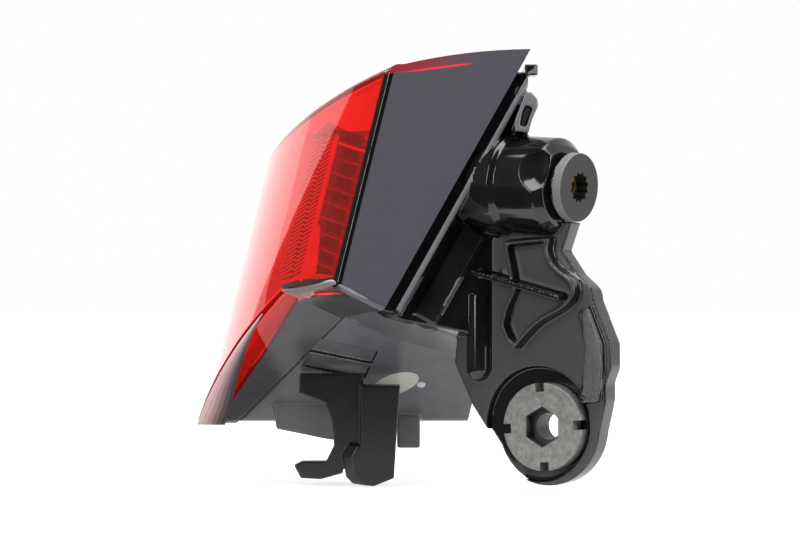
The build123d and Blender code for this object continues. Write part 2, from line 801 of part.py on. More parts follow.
# Marks on the underside
label_face = Rot(0, 0, label_turn) * Ellipse(label_length / 2, label_height / 2)
save(under_frame(label_x, label_y) * extrude(label_face, label_thickness), "inspection_label")
save(under_frame(dot_x, dot_y) * extrude(Circle(dot_radius), label_thickness), "paint_dot")

# Locating bracket, cut to the underside that it hangs from
leg = upright(leg_points, bracket_y, bracket_depth)
leg = chamfer(leg.faces().sort_by(Axis.Y)[0].edges().sort_by(Axis.X)[:3], leg_chamfer)
hook = upright(hook_points, bracket_y + hook_setback, hook_depth)
save((leg + hook) - envelope(housing_inset), "locating_bracket")
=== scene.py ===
# %% [markdown]
# A tail light cluster in studio light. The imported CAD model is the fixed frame: every piece below
# sits where the CAD says, in metres. Pieces whose CAD shape is already right keep it and only get
# a finish. Moulded pieces are copied and softened, because real mouldings have no razor edges.

import math

import bmesh
import bpy
import numpy as np
from mathutils import Matrix, Vector


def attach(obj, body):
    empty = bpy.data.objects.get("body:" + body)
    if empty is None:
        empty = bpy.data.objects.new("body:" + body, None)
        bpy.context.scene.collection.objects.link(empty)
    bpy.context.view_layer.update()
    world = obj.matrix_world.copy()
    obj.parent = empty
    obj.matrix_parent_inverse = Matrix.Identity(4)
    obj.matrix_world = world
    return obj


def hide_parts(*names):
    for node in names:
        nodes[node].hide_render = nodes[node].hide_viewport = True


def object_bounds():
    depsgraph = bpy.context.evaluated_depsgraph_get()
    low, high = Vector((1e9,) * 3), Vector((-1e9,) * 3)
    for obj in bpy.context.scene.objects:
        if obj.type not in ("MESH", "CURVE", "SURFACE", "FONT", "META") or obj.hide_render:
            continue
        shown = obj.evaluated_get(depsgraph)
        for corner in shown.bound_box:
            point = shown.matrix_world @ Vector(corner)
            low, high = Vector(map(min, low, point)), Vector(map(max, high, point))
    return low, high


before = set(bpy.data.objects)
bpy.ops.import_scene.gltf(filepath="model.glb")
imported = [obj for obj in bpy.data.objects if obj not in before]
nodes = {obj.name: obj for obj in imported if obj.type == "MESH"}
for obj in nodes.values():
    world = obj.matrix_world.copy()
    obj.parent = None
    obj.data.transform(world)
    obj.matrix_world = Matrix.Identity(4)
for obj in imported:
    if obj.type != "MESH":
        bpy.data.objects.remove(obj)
cad_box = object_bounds()
scene = bpy.context.scene
mm = 0.001

# %% [markdown]
# A few facts from the part's source are needed again: where the lens cylinder is, how it leans,
# how the joint and the underside slope, and which way the two adjusters face. The row's origin is
# the mouth of the lower bolt bore, so each construction point is shifted by that mouth's place.

# %% Shared geometry of the lamp
mouth = Vector((2.348, 3.955, 0.0))
lens_edge = Vector((-68.0, 0.0, 49.0))
lens_radius = 130.0
lens_start = math.radians(46.5)
lens_lean = 0.247
seam_point = (-51.7, 0.0, 40.7)
seam_lean = 0.562
under_slope = 0.864
lug_normal = Vector((-0.5105, -0.8599, 0.0)).normalized()
disc_normal = Vector((0.7977, -0.599, -0.0698)).normalized()
under_normal = Vector((0.0, -under_slope, -1.0)).normalized()


def row(x, y, z):
    """A point of the part's source, in millimetres, as a point of the row in metres."""
    return (Vector((x, y, z)) - mouth) * mm


def behind_lens(across, height, depth):
    """The point that lies a depth behind the lens's rear face, at a distance from the inboard wall."""
    lean = lens_lean * (height - lens_edge.z)
    centre_x = lens_edge.x + lens_radius * math.cos(lens_start) + lean
    centre_y = lens_radius * math.sin(lens_start)
    radius = lens_radius - depth
    return row(centre_x - math.sqrt(radius ** 2 - (centre_y - across) ** 2), across, height)


disc_centre = row(12.3, -4.0, 79.7)
print("disc centre", [round(value, 4) for value in disc_centre])

# %% [markdown]
# Finishes are node materials. Almost all of them are the same idea: a Principled shader whose
# colour, roughness and bump are stirred a little by noise read from Object coordinates, at the
# size that the real grain has. One helper builds that, and each finish then adds what is its own.


# %% Helper for finishes
def finish(name, dark, light, rough, grain=600.0, bump=0.05, bump_distance=0.0002, **sockets):
    """A moulded finish: colour from dark to light, roughness from low to high, and a fine bump."""
    material = bpy.data.materials.new(name)
    material.use_nodes = True
    tree = material.node_tree
    shader = tree.nodes["Principled BSDF"]
    place = tree.nodes.new("ShaderNodeTexCoord")
    noise = tree.nodes.new("ShaderNodeTexNoise")
    noise.inputs["Scale"].default_value = grain
    noise.inputs["Detail"].default_value = 4.0
    tree.links.new(place.outputs["Object"], noise.inputs["Vector"])
    colour = tree.nodes.new("ShaderNodeValToRGB")
    colour.name = "colour"
    colour.color_ramp.elements[0].position = 0.3
    colour.color_ramp.elements[0].color = (*dark, 1)
    colour.color_ramp.elements[1].position = 0.7
    colour.color_ramp.elements[1].color = (*light, 1)
    tree.links.new(noise.outputs["Fac"], colour.inputs["Fac"])
    tree.links.new(colour.outputs["Color"], shader.inputs["Base Color"])
    spread = tree.nodes.new("ShaderNodeMapRange")
    spread.inputs["To Min"].default_value = rough[0]
    spread.inputs["To Max"].default_value = rough[1]
    tree.links.new(noise.outputs["Fac"], spread.inputs["Value"])
    tree.links.new(spread.outputs["Result"], shader.inputs["Roughness"])
    relief = tree.nodes.new("ShaderNodeBump")
    relief.inputs["Strength"].default_value = bump
    relief.inputs["Distance"].default_value = bump_distance
    tree.links.new(noise.outputs["Fac"], relief.inputs["Height"])
    tree.links.new(relief.outputs["Normal"], shader.inputs["Normal"])
    for socket, value in sockets.items():
        shader.inputs[socket.replace("_", " ")].default_value = value
    return material


# %% Finishes of the mouldings
gloss_black = finish(
    "gloss_black", (0.004, 0.004, 0.0045), (0.008, 0.008, 0.009), (0.08, 0.16), 90.0, 0.03
)
# The lug's front has this grain of its own; on the glossy floor of the arm's hollow the same lighter
# grey is a painted reflection.
grain_and_sheen_black = finish(
    "grain_and_sheen_black", (0.024, 0.024, 0.026), (0.034, 0.034, 0.036), (0.36, 0.46), 2500.0, 0.12
)
# A painted reflection: this paler grey stands for the pale floor and bright studio mirrored in the black
# gloss of the underside, rail, clip and foot.
painted_reflection_grey = finish(
    "painted_reflection_grey", (0.1, 0.102, 0.11), (0.125, 0.127, 0.136), (0.26, 0.36), 160.0, 0.04
)
# A painted highlight: this lighter grey stands for the light on the ridge at the arm's outer edge.
rim_painted_highlight = finish(
    "rim_painted_highlight", (0.055, 0.055, 0.058), (0.075, 0.075, 0.078), (0.22, 0.32), 900.0, 0.03
)
hook_black = finish(
    "hook_black", (0.006, 0.006, 0.0063), (0.01, 0.01, 0.0103), (0.26, 0.36), 700.0, 0.08
)
skirt_dark = finish(
    "skirt_dark", (0.055, 0.055, 0.06), (0.066, 0.066, 0.071), (0.16, 0.24), 300.0, 0.02
)
seal_black = finish(
    "seal_black", (0.004, 0.004, 0.004), (0.01, 0.01, 0.01), (0.4, 0.55), 400.0, 0.1
)
disc_dark = finish(
    "disc_dark", (0.012, 0.012, 0.0123), (0.018, 0.018, 0.0183), (0.42, 0.55), 1800.0, 0.15,
    Specular_IOR_Level=0.33,
)
print("finishes of mouldings", len(bpy.data.materials))

# %% [markdown]
# Several finishes change over a line. Each such mask is the same chain of nodes: the distance of a
# point along a direction, read from Object coordinates, a step over that distance, and a mix of two
# colours by the step. Giving faces different slots would do it too, but such a line would follow
# the triangles.


# %% Helpers for masks
def measured(tree, direction):
    """The distance of a point along a direction."""
    node = tree.nodes.new("ShaderNodeVectorMath")
    node.operation = "DOT_PRODUCT"
    node.inputs[1].default_value = direction
    tree.links.new(tree.nodes["Texture Coordinate"].outputs["Object"], node.inputs[0])
    return node.outputs["Value"]


def ramp(tree, source, start, end, kind="SMOOTHSTEP", top=1.0):
    """A step of a value, from nothing at the start to the top at the end."""
    step = tree.nodes.new("ShaderNodeMapRange")
    step.interpolation_type = kind
    step.inputs["From Min"].default_value = start
    step.inputs["From Max"].default_value = end
    step.inputs["To Max"].default_value = top
    tree.links.new(source, step.inputs["Value"])
    return step.outputs["Result"]


def joined(tree, operation, *sources):
    """One value made of others by the same product or comparison."""
    total = sources[0]
    for source in sources[1:]:
        node = tree.nodes.new("ShaderNodeMath")
        node.operation = operation
        tree.links.new(total, node.inputs[0])
        tree.links.new(source, node.inputs[1])
        total = node.outputs["Value"]
    return total


def tinted(tree, mask, base, tone):
    """A colour that gives way to a tone where the mask says so."""
    node = tree.nodes.new("ShaderNodeMix")
    node.data_type = "RGBA"
    node.inputs["B"].default_value = (*tone, 1)
    tree.links.new(mask, node.inputs["Factor"])
    tree.links.new(base, node.inputs["A"])
    return node.outputs["Result"]


def plain(tree):
    """The colour that a finish has before any mask."""
    return tree.nodes["colour"].outputs["Color"]


def paint(tree, colour):
    """Give the shader of a finish a colour in place of the plain one."""
    tree.links.new(colour, tree.nodes["Principled BSDF"].inputs["Base Color"])


# %% [markdown]
# The lens is a red clear moulding. Most light passes through it, so the shader is mostly
# transmission, but a part of it scatters in the pigment, which keeps the colour full where
# nothing bright lies behind the wall.

# %% Red lens finish
lens_red = finish(
    "lens_red", (0.965, 0.045, 0.03), (0.975, 0.055, 0.038), (0.0, 0.01), 40.0, 0.0,
    Transmission_Weight=0.93, IOR=1.49,
)
print("made", lens_red.name)

# %% [markdown]
# The inboard panel is the same lens moulded over with a smoked shot. Towards its rear edge the
# shot is black. The mask follows the leaning edge of the lens: a plane in Object coordinates, so a
# dot product with the plane's normal gives the distance from that edge.

# %% Smoked panel finish
smoke_dark, smoke_light = (0.058, 0.056, 0.068), (0.066, 0.064, 0.077)
panel_smoke = finish("panel_smoke", smoke_dark, smoke_light, (0.1, 0.16), 1200.0, 0.01)
edge_normal = Vector((1.0, 0.0, -lens_lean)).normalized()
edge_level = row(*lens_edge).dot(edge_normal)
black_from, black_to = edge_level + 1.7 * mm, edge_level + 1.3 * mm
tree = panel_smoke.node_tree
black_edge = ramp(tree, measured(tree, edge_normal), black_from, black_to)
panel_base = tinted(tree, black_edge, plain(tree), (0.004, 0.004, 0.004))
print("made", panel_smoke.name)

# %% [markdown]
# Along its top the smoked shot is thin. Red shows through it towards the rear, and the edge of the
# red moulding under it catches the light as a bright streak. Both are masks in Object coordinates.

# %% Red light in the top of the panel
streak_normal = Vector((-0.122, 0.0, 1.0))
streak_level = row(-43.33, 0.0, 118.73).dot(streak_normal)
streak_core, streak_reach = 0.1 * mm, 0.5 * mm
tint_fade = 0.3 * mm
red_tint, streak_red = (0.24, 0.014, 0.024), (0.72, 0.03, 0.03)


def along_ramp(tree, start, end):
    """A smooth step from front to rear, between two places of the part's source."""
    along = measured(tree, (1.0, 0.0, 0.0))
    return ramp(tree, along, row(start, 0.0, 0.0).x, row(end, 0.0, 0.0).x)


def red_top(tree, base):
    """The red that shows through the smoke: a tint over the streak's line, and the streak."""
    height = measured(tree, streak_normal)
    over = ramp(tree, height, streak_level, streak_level + tint_fade)
    colour = tinted(tree, joined(tree, "MULTIPLY", over, along_ramp(tree, -18.0, -54.0)), base, red_tint)
    streak = joined(
        tree, "MULTIPLY",
        ramp(tree, height, streak_level - streak_reach, streak_level - streak_core),
        ramp(tree, height, streak_level + streak_reach, streak_level + streak_core),
        along_ramp(tree, -48.0, -38.0),
        along_ramp(tree, -22.0, -28.0),
    )
    return tinted(tree, streak, colour, streak_red)


paint(tree, red_top(tree, panel_base))
print("nodes in the panel's finish", len(tree.nodes))

# %% [markdown]
# The top of the lens beside the panel is the same smoked skin, though it belongs to the red piece.
# A second shader lies over the clear one there: right of the lens's edge and close to the inboard
# wall. A mix of two shaders keeps the rest of the lens clear.

# %% Smoke over the top of the lens
skin_inside, skin_outside = row(0.0, 3.6, 0.0).y, row(0.0, 3.8, 0.0).y
tree = lens_red.node_tree
beside = ramp(tree, measured(tree, edge_normal), edge_level, edge_level + 0.5 * mm)
near_wall = ramp(tree, measured(tree, (0.0, 1.0, 0.0)), skin_outside, skin_inside)
smoke = tree.nodes.new("ShaderNodeBsdfPrincipled")
smoke.name = "smoke"
smoke.inputs["Roughness"].default_value = 0.14
smoke_tone = tree.nodes.new("ShaderNodeMix")
smoke_tone.data_type = "RGBA"
smoke_tone.inputs["A"].default_value = (*smoke_dark, 1)
smoke_tone.inputs["B"].default_value = (*smoke_light, 1)
tree.links.new(tree.nodes["Noise Texture"].outputs["Fac"], smoke_tone.inputs["Factor"])
tree.links.new(red_top(tree, smoke_tone.outputs["Result"]), smoke.inputs["Base Color"])
over_lens = tree.nodes.new("ShaderNodeMixShader")
tree.links.new(joined(tree, "MULTIPLY", beside, near_wall), over_lens.inputs["Fac"])
tree.links.new(tree.nodes["Principled BSDF"].outputs["BSDF"], over_lens.inputs[1])
tree.links.new(smoke.outputs["BSDF"], over_lens.inputs[2])
tree.links.new(over_lens.outputs["Shader"], tree.nodes["Material Output"].inputs["Surface"])
print("nodes in the lens's finish", len(tree.nodes))

# %% [markdown]
# The bezel behind the lens is one plated frame, but the cells in it are dark. The cells lie in a
# band beside the inboard wall and end at a falling line, so two distances say where the frame is
# dark and where it is pale. The bright plate above the cells darkens below that same line, up to a
# second line that climbs on its far side.

# %% Bezel and top plate finishes
cells_blur = 0.4 * mm
cells_fall = Vector((0.54, 0.0, 1.0))
cells_end = row(-69.8, 0.0, 102.0).dot(cells_fall)
cells_climb = Vector((-1.0, 0.0, 1.0))
cells_side = row(-71.0, 0.0, 102.5).dot(cells_climb)
cells_wide = row(0.0, 22.0, 0.0).y
bezel_two = finish("bezel_two", (0.08, 0.06, 0.06), (0.15, 0.11, 0.11), (0.2, 0.35), 500.0, 0.05)
tree = bezel_two.node_tree
away = ramp(tree, measured(tree, (0.0, 1.0, 0.0)), cells_wide, cells_wide + cells_blur, "LINEAR")
over = ramp(tree, measured(tree, cells_fall), cells_end, cells_end + cells_blur)
paint(tree, tinted(tree, joined(tree, "MAXIMUM", away, over), plain(tree), (0.42, 0.4, 0.39)))
top_plate = finish("top_plate", (0.78, 0.77, 0.76), (0.86, 0.85, 0.84), (0.12, 0.22), 120.0, 0.02)
tree = top_plate.node_tree
under_line = ramp(tree, measured(tree, cells_fall), cells_end + cells_blur, cells_end)
side_line = ramp(tree, measured(tree, cells_climb), cells_side + cells_blur, cells_side)
dark_part = joined(tree, "MULTIPLY", under_line, side_line)
paint(tree, tinted(tree, dark_part, plain(tree), (0.1, 0.08, 0.08)))
print("made", bezel_two.name, top_plate.name)

# %% [markdown]
# The lower adjuster is a sintered or fibre-filled grey with a cloudy mottle of a few millimetres
# and finer specks in it. Raising the roughness of the noise gives the fine octaves more weight,
# which saves a second texture. The other finishes here are metals, clear parts and paper.

# %% Metals, fillers and paper
ring_grey = finish(
    "ring_grey", (0.11, 0.107, 0.101), (0.255, 0.249, 0.238), (0.36, 0.52), 420.0, 0.25, Metallic=0.35
)
ring_grey.node_tree.nodes["Noise Texture"].inputs["Roughness"].default_value = 0.75
# A painted reflection: the real lip is black gloss, and this grey stands for the pale floor mirrored in
# it.
lip_painted_reflection = finish(
    "lip_painted_reflection", (0.22, 0.214, 0.218), (0.27, 0.262, 0.266), (0.3, 0.38), 300.0, 0.02, Metallic=0.3
)
brass_cut = finish(
    "brass_cut", (0.62, 0.36, 0.13), (0.8, 0.52, 0.24), (0.2, 0.34), 1500.0, 0.1, Metallic=1.0
)
pin_metal = finish(
    "pin_metal", (0.6, 0.58, 0.52), (0.78, 0.76, 0.7), (0.22, 0.35), 1500.0, 0.05, Metallic=1.0
)
sink_metal = finish(
    "sink_metal", (0.5, 0.5, 0.51), (0.66, 0.66, 0.67), (0.3, 0.45), 900.0, 0.1, Metallic=1.0
)
bright_plate = finish(
    "bright_plate", (0.78, 0.77, 0.76), (0.86, 0.85, 0.84), (0.12, 0.22), 120.0, 0.02
)
guide_clear = finish("guide_clear", (0.8, 0.76, 0.74), (0.88, 0.84, 0.82), (0.1, 0.2), 200.0, 0.0)
edge_dim = finish("edge_dim", (0.26, 0.23, 0.23), (0.32, 0.29, 0.29), (0.2, 0.3), 200.0, 0.0)
# The darker finish of the ribs, painted shade.
guide_shade = finish("guide_shade", (0.2, 0.17, 0.17), (0.26, 0.22, 0.22), (0.2, 0.3), 200.0, 0.0)
board_green = finish("board_green", (0.01, 0.06, 0.03), (0.02, 0.09, 0.045), (0.3, 0.45), 700.0, 0.1)
led_white = finish("led_white", (0.75, 0.7, 0.4), (0.85, 0.8, 0.5), (0.3, 0.4), 900.0, 0.05)
label_paper = finish("label_paper", (0.6, 0.59, 0.53), (0.68, 0.67, 0.6), (0.4, 0.5), 900.0, 0.04)
paint_white = finish("paint_white", (0.66, 0.67, 0.7), (0.76, 0.77, 0.79), (0.35, 0.5), 700.0, 0.1)
vent_rubber = finish("vent_rubber", (0.012, 0.012, 0.012), (0.02, 0.02, 0.02), (0.55, 0.7), 900.0, 0.15)
print("finishes", len(bpy.data.materials))

# %% [markdown]
# The adjusters each get a second colour. The inside of the ring's socket is darkened as painted shade
# in the bore, and the side of the disc is painted paler than its face. Both follow the distance from the
# adjuster's axis, so the place is split into a part along the axis and a part across it.


# %% Painted shade in the ring's socket, and the disc's paler side
def second_tone(material, centre, normal, tone, reach_from, reach_to, below=None):
    """Blend a second colour in by the distance from an axis, and below a height along it if given."""
    tree = material.node_tree
    offset = tree.nodes.new("ShaderNodeVectorMath")
    offset.operation = "SUBTRACT"
    offset.inputs[1].default_value = centre
    tree.links.new(tree.nodes["Texture Coordinate"].outputs["Object"], offset.inputs[0])
    along = tree.nodes.new("ShaderNodeVectorMath")
    along.operation = "PROJECT"
    along.inputs[1].default_value = normal
    tree.links.new(offset.outputs["Vector"], along.inputs[0])
    across = tree.nodes.new("ShaderNodeVectorMath")
    across.operation = "DISTANCE"
    tree.links.new(offset.outputs["Vector"], across.inputs[0])
    tree.links.new(along.outputs["Vector"], across.inputs[1])
    share = ramp(tree, across.outputs["Value"], reach_from * mm, reach_to * mm, "LINEAR")
    if below is not None:
        level = Vector(centre).dot(normal) + below * mm
        under = ramp(tree, measured(tree, normal), level, level - 0.2 * mm, "LINEAR")
        share = joined(tree, "MULTIPLY", share, under)
    paint(tree, tinted(tree, share, plain(tree), tone))


ring_floor = 4.5
# Painted shade: the inside of the ring's bore is darkened below ring_floor.
second_tone(ring_grey, (0, 0, 0), lug_normal, (0.035, 0.034, 0.034), 7.4, 7.0, ring_floor)
second_tone(disc_dark, disc_centre, disc_normal, (0.15, 0.15, 0.153), 11.2, 11.4)
print("two tones on", ring_grey.name, disc_dark.name)

# %% [markdown]
# Most nodes keep their CAD shape, because their edges are too small or too hidden to show. They
# only get a finish, which goes into the object's material slot.


# %% Give the CAD nodes their finishes
def coat(obj, *materials):
    """Put finishes into an object's slots, in order, in place of what it had."""
    obj.data.materials.clear()
    for material in materials:
        obj.data.materials.append(material)


node_finish = {
    "side_panel": panel_smoke, "lens_skirt": skirt_dark, "lens_border": bright_plate,
    "lens_seal": seal_black, "inner_bezel": bezel_two, "top_reflector": top_plate,
    "reflector": bright_plate, "led_board": board_green, "leds": led_white,
    "heat_sink": sink_metal, "board_screws": pin_metal, "connector_socket": hook_black,
    "connector_pins": pin_metal, "vent_cap": vent_rubber, "lower_adjuster": ring_grey,
    "upper_adjuster": disc_dark, "brass_insert": brass_cut, "inspection_label": label_paper,
    "paint_dot": paint_white, "red_lens": lens_red, "light_guide_near": guide_clear,
    "light_guide_far": guide_clear,
}
for name, material in node_finish.items():
    coat(nodes[name], material)
print("coated nodes", len(node_finish))

# %% [markdown]
# The housing is one black moulding full of ribs and steps. In the source its edges are sharp; on
# the real thing every one of them is a small round that catches a line of light. Bevelling such a
# mesh edge by edge would fail at the many places where cuts meet, so the copy is rebuilt as a fine
# voxel skin, smoothed, and thinned again. Rounds then appear everywhere, inside corners included.


# %% Soft copies of mouldings
def settle(piece):
    """Put the result of an object's modifiers into its mesh."""
    evaluated = piece.evaluated_get(bpy.context.evaluated_depsgraph_get())
    finished = bpy.data.meshes.new_from_object(evaluated)
    piece.modifiers.clear()
    piece.data = finished


def spots(items, attribute):
    """The places or normals of a mesh's vertices or faces, as rows of three numbers."""
    flat = np.zeros(len(items) * 3)
    items.foreach_get(attribute, flat)
    return flat.reshape(-1, 3)


def shade_smooth(mesh):
    """Let the light run over a mesh's edges."""
    mesh.polygons.foreach_set("use_smooth", np.ones(len(mesh.polygons), dtype=bool))


def soft_copy(node, name, voxel, rounds, keep, softer=None):
    """A softened copy of a CAD node: merged, rebuilt as a voxel skin, smoothed and thinned."""
    mesh = nodes[node].data.copy()
    build = bmesh.new()
    build.from_mesh(mesh)
    bmesh.ops.remove_doubles(build, verts=build.verts, dist=0.00001)
    build.to_mesh(mesh)
    build.free()
    piece = bpy.data.objects.new(name, mesh)
    scene.collection.objects.link(piece)
    skin = piece.modifiers.new("skin", "REMESH")
    skin.mode = "VOXEL"
    skin.voxel_size = voxel
    settle(piece)
    smooth = piece.modifiers.new("smooth", "SMOOTH")
    smooth.iterations = rounds
    if softer:
        group = piece.vertex_groups.new(name="softer")
        chosen = np.flatnonzero(softer(spots(piece.data.vertices, "co")))
        group.add(chosen.tolist(), 1.0, "REPLACE")
        melt = piece.modifiers.new("melt", "SMOOTH")
        melt.iterations = 4 * rounds
        melt.vertex_group = group.name
    thin = piece.modifiers.new("thin", "DECIMATE")
    thin.ratio = keep
    settle(piece)
    piece.vertex_groups.clear()
    shade_smooth(piece.data)
    print(name, "triangles", len(piece.data.polygons))
    return piece


# %% Housing and bracket
def between(values, low, high):
    """Which values, in metres, lie between two limits in millimetres."""
    return (values > low * mm) & (values < high * mm)


def in_dish(places):
    """The hollow of the arm, where the moulding flows instead of turning corners."""
    along = places @ np.array((-lug_normal.y, lug_normal.x, 0.0))
    out = places @ np.array(lug_normal)
    return between(along, -17, 15) & between(out, 0.3, 7.6) & between(places[:, 2], 23, 66)


housing = soft_copy("housing", "housing_shell", 0.36 * mm, 9, 0.13, in_dish)
coat(housing, gloss_black, grain_and_sheen_black, painted_reflection_grey, rim_painted_highlight)
bracket = soft_copy("locating_bracket", "hook_bracket", 0.3 * mm, 4, 0.4)
coat(bracket, hook_black)

# %% [markdown]
# Not all of the housing shines alike. The front of the lug is grained. The floor of its hollow is
# glossy, and takes the same lighter grey as a painted reflection. The sloping underside, the rail, the
# clip and the foot are painted a paler grey, a painted reflection of the pale floor and the bright
# studio in the black gloss, and the raised ridge at the arm's outer edge is painted lighter as a
# painted highlight. Which faces those are follows from where they look and lie, so each group is a
# mask on the directions and centres of the faces.

# %% Directions and levels of the housing's faces
normals = spots(housing.data.polygons, "normal")
centres = spots(housing.data.polygons, "center")
forward = -normals[:, 1]
facing_lug = normals @ np.array(lug_normal)
out_of_lug = centres @ np.array(lug_normal)
facing_down = normals @ np.array(under_normal)
under_level = (centres - np.array(row(0.0, 0.0, 64.0))) @ np.array(under_normal)
seam_across = Vector((1.0, 0.0, -seam_lean)).normalized()
off_seam = (centres - np.array(row(*seam_point))) @ np.array(seam_across)
along_seam = normals @ np.array((-seam_across.z, 0.0, seam_across.x))
print("faces", len(centres))

# %% Groups of faces
lug_level, lug_slack = 1.6 * mm, 1.2 * mm
on_lug = (facing_lug > 0.93) & (np.abs(out_of_lug - lug_level) < lug_slack)
on_dish = (facing_lug > 0.8) & in_dish(centres)
raised = (facing_lug > 0.7) & between(out_of_lug, 3.2, 5.6)
on_rim = raised & (centres[:, 0] > 11 * mm) & between(centres[:, 2], 8, 41)
low_side = (centres[:, 2] < 50 * mm) & (centres[:, 0] < -22 * mm)
below = (facing_down > 0.68) & (under_level < 12 * mm) & low_side
rail_front, rail_back = row(0.0, 0.6, 0.0).y, row(0.0, 2.6, 0.0).y
on_rail = between(off_seam, 3.2, 5.7) & (np.abs(along_seam) < 0.15) & (forward > 0.3)
on_rail &= (centres[:, 1] > rail_front) & (centres[:, 1] < rail_back)
clip_low, clip_high = np.array(row(-9.0, -100.0, 98.0)), np.array(row(1.0, 10.0, 113.5))
on_clip = np.all((centres > clip_low) & (centres < clip_high), axis=1) & (forward > 0.8)
foot_low, foot_high = np.array(row(-100.0, 66.0, -13.0)), np.array(row(-38.5, 84.0, 6.0))
on_foot = np.all((centres > foot_low) & (centres < foot_high), axis=1) & (forward > 0.6)
groups = {"lug": on_lug, "dish": on_dish, "rim": on_rim, "below": below, "rail": on_rail}
groups.update({"clip": on_clip, "foot": on_foot})
print("faces in groups", {name: int(mask.sum()) for name, mask in groups.items()})

# %% Slots of the housing, and where both copies belong
grain_and_sheen_slot, painted_reflection_slot, rim_highlight_slot = 1, 2, 3
slots = np.zeros(len(centres), dtype=np.int32)
# The lug's front is grained; on the dish floor the satin grey is a painted reflection.
slots[on_lug | on_dish] = grain_and_sheen_slot
# The ridge at the arm's outer edge takes a painted highlight.
slots[on_rim] = rim_highlight_slot
# The underside, rail, clip and foot take the paler grey of a painted reflection.
slots[below | on_rail | on_clip | on_foot] = painted_reflection_slot
housing.data.polygons.foreach_set("material_index", slots)
for piece, node in ((housing, "housing"), (bracket, "locating_bracket")):
    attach(piece, "housing")
    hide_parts(node)
print("slots used", sorted(set(slots.tolist())))

# %% [markdown]
# The parts behind the lens follow its curve. A flat grid is bent to the lens by a function that
# turns two shares of the grid into a place, and is then given its thickness. Pairs of rows take the
# finishes in turn, so one sheet can be striped.


# %% Sheets that follow the lens
def lens_sheet(name, materials, columns, rows, thickness, shape):
    """A grid bent to the lens, where shape turns a share and a row into a place behind its face."""
    build = bmesh.new()
    bmesh.ops.create_grid(build, x_segments=columns, y_segments=rows, size=0.5)
    for face in build.faces:
        band = int((face.calc_center_median().y + 0.5) * rows / 2)
        face.material_index = band % len(materials)
    for vert in build.verts:
        vert.co = behind_lens(*shape(vert.co.x + 0.5, round((vert.co.y + 0.5) * rows)))
    build.normal_update()
    if sum(face.normal.x for face in build.faces) > 0:
        bmesh.ops.reverse_faces(build, faces=build.faces)
    bmesh.ops.solidify(build, geom=build.faces[:], thickness=thickness * mm)
    bmesh.ops.recalc_face_normals(build, faces=build.faces)
    mesh = bpy.data.meshes.new(name)
    for material in materials:
        mesh.materials.append(material)
    build.to_mesh(mesh)
    build.free()
    piece = bpy.data.objects.new(name, mesh)
    scene.collection.objects.link(piece)
    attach(piece, "housing")
    print(name, "faces", len(mesh.polygons))
    return piece


# %% [markdown]
# The two light guides behind the lens are ribbed columns. The ribs run up towards the inboard wall
# and are under a millimetre apart. Each second row of the grid is drawn back to make the ribs, and
# the slant eases off at both ends of a column. Every second rib takes a darker finish: painted shade
# that stands for the dark flanks of the ribs.

# %% Ribbed light guides
guide_low, guide_top = 48.0, 98.0
guide_width, guide_wall, guide_depth = 5.0, 2.0, 5.6
rib_pitch, rib_relief, rib_slant, rib_ease = 0.75, 0.4, 0.5, 8
rib_rows = int((guide_top - guide_low) / rib_pitch) * 2


def ribbed(start):
    """The shape of one ribbed column: slanting ribs, drawn back between their crests."""
    def place(along, step):
        slant = rib_slant * min(1.0, step / rib_ease, (rib_rows - step) / rib_ease)
        rise = step / rib_rows * (guide_top - guide_low)
        height = guide_low + rise - slant * (along - 0.5) * guide_width
        return start + along * guide_width, height, guide_depth + (rib_relief if step % 2 else 0.0)
    return place


for node, start in (("light_guide_near", 23.0), ("light_guide_far", 28.8)):
    # Every second rib takes the darker finish, painted shade for the ribs' dark flanks.
    lit_and_shaded_ribs = (guide_clear, guide_shade)
    guide = lens_sheet(node + "_ribbed", lit_and_shaded_ribs, 10, rib_rows, guide_wall, ribbed(start))
    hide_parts(node)

# %% [markdown]
# Beside the columns runs a plain bright strip, and the dark cells lie between it and the panel.
# Thin edges between the cells catch the light, and the second from the top is a bright blade.

# %% Strip and cell edges
strip_rows, strip_end = 60, 22.8


def strip_place(along, step):
    """A plain strip whose inner edge waves a little in its lower half."""
    height = guide_low + step / strip_rows * (guide_top - guide_low)
    low = max(0.0, 1.0 - (height - guide_low) / 20.0)
    inner = 20.6 - 5.0 * low ** 0.5 - 0.35 * math.sin(height * 2.2) * low
    return inner + along * (strip_end - inner), height, 5.3


def cell_edge(height, thick):
    """The shape of a thin bar that falls towards the panel."""
    def place(along, step):
        across = 6.6 + along * 13.7
        return across, height + 0.3 * (across - 10.8) + (step - 1) * thick, 5.4
    return place


lens_sheet("plain_strip", (guide_clear,), 6, strip_rows, 0.4, strip_place)
cell_count, blade = 10, 8
cell_pitch = (guide_top - guide_low) / cell_count
for index in range(cell_count):
    height = guide_low + (index + 1) * cell_pitch - 0.45
    thick, material = (0.5, guide_clear) if index == blade else (0.22, edge_dim)
    lens_sheet(f"cell_edge_{index}", (material,), 8, 2, 0.3, cell_edge(height, thick))

# %% [markdown]
# Where the rear face and the inboard panel end, the lens turns under in a rounded lip. The real lip is
# black gloss; its grey here is a painted reflection of the pale floor. On the real moulding it is one
# bead along both edges, and it thins out along the panel. A ring of points is carried along the edge
# and bridged, and a Subdivision Surface rounds it.

